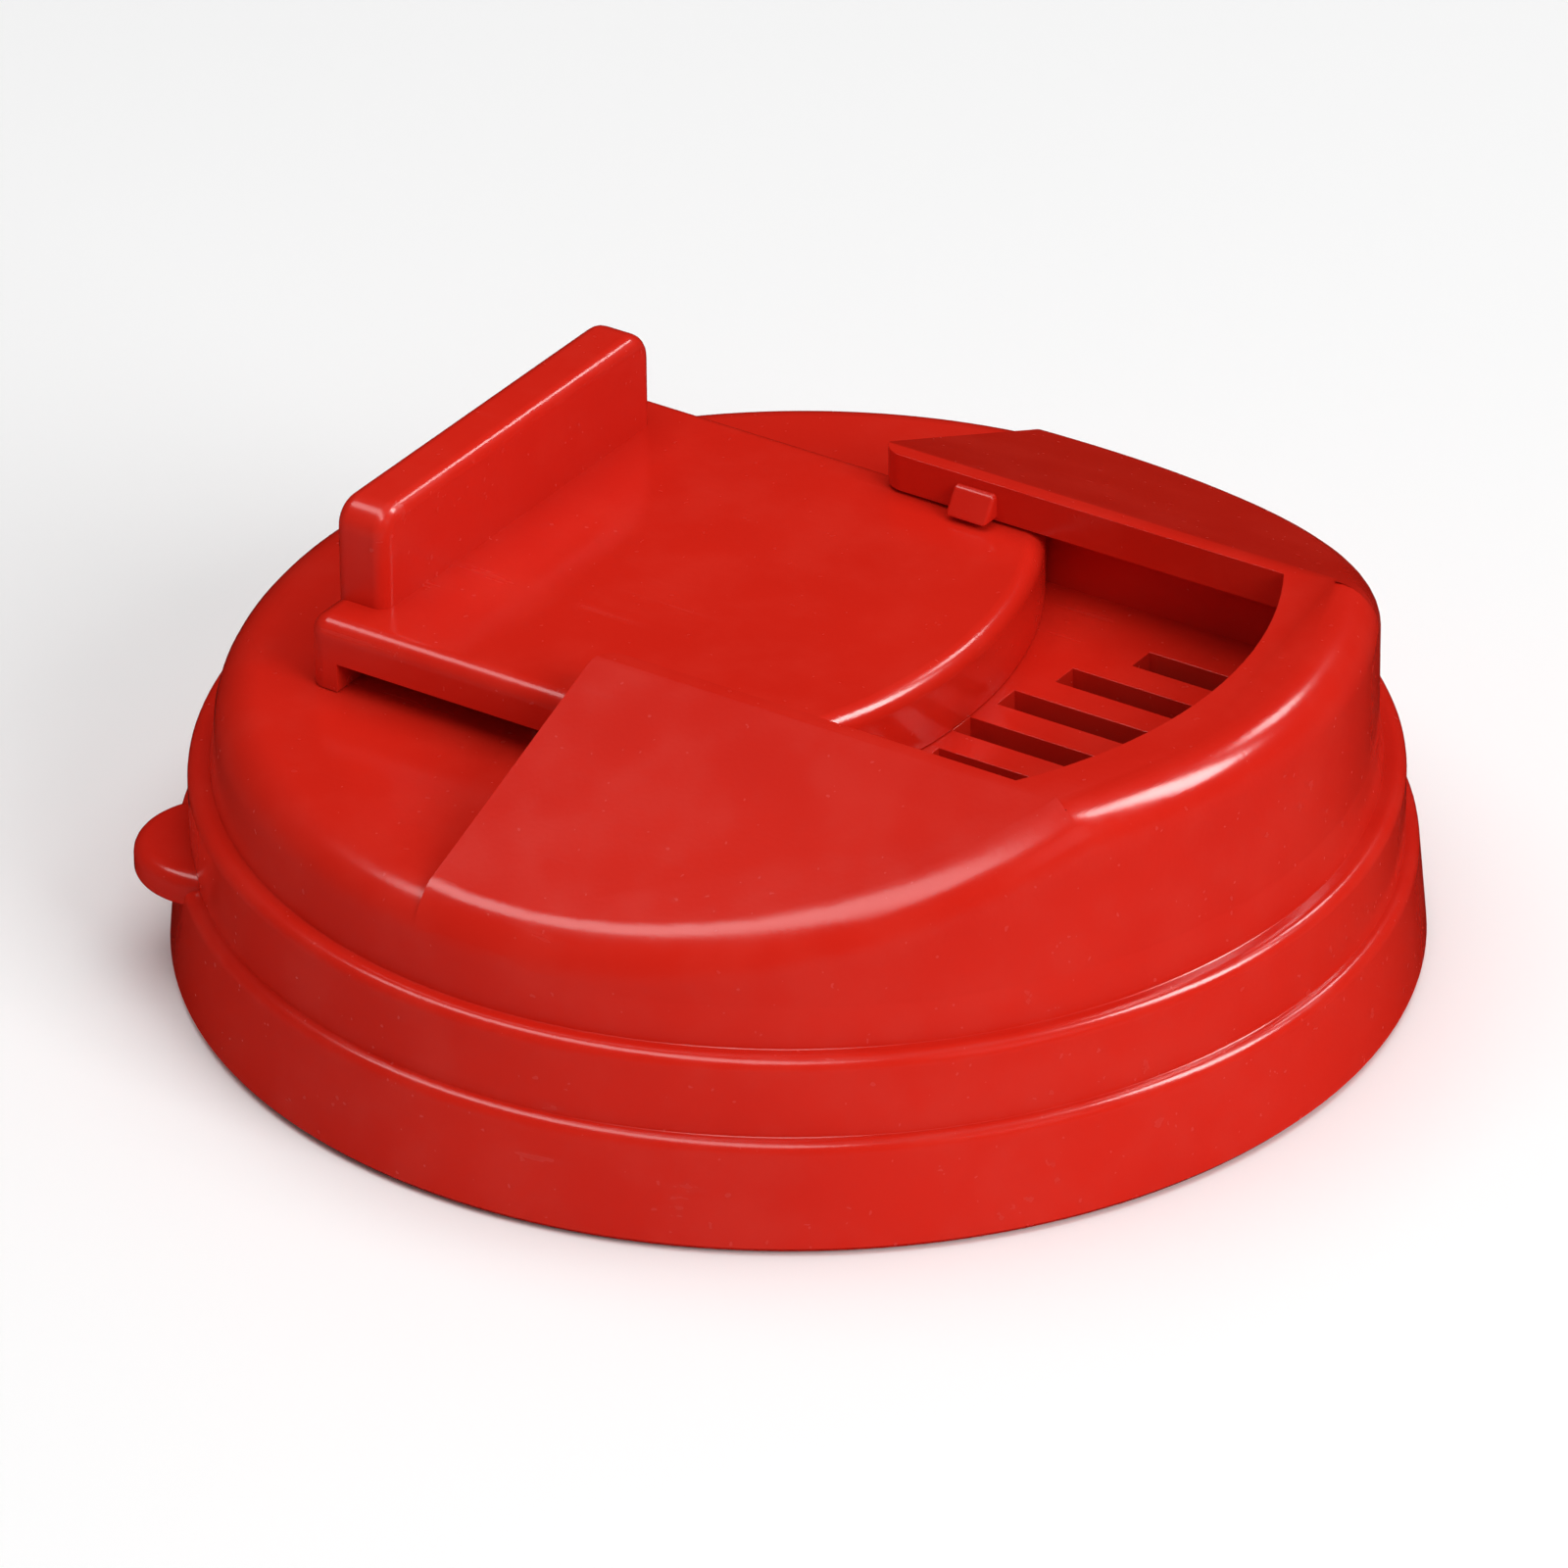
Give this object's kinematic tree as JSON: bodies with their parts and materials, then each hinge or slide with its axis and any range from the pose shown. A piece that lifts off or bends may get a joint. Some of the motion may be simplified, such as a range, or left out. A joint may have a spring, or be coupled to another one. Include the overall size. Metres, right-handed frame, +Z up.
{
  "type": "drinks tumbler lid",
  "caption": "Round press-on lid for a drinks tumbler, with a sliding gate that covers slotted drinking openings, a thumb tab and a pull ear.",
  "frame": {"origin": "centre of the skirt's bottom edge", "axes": "+Z up through the deck, +X towards the drinking lip, which is also the way the gate closes"},
  "size_m": [0.09, 0.09, 0.034],
  "materials": {
    "shell": "satin red moulded plastic",
    "gate": "satin red moulded plastic",
    "seal": "translucent silicone"
  },
  "bodies": {
    "lid": {"lid_shell": "shell", "rim_seal": "seal"},
    "gate": {"slide_gate": "gate", "gate_seal": "seal"}
  },
  "joints": [
    {"name": "gate_slide", "type": "slide", "parent": "lid", "child": "gate", "axis": [1, 0, 0], "range_m": [0, 0.0235]}
  ]
}
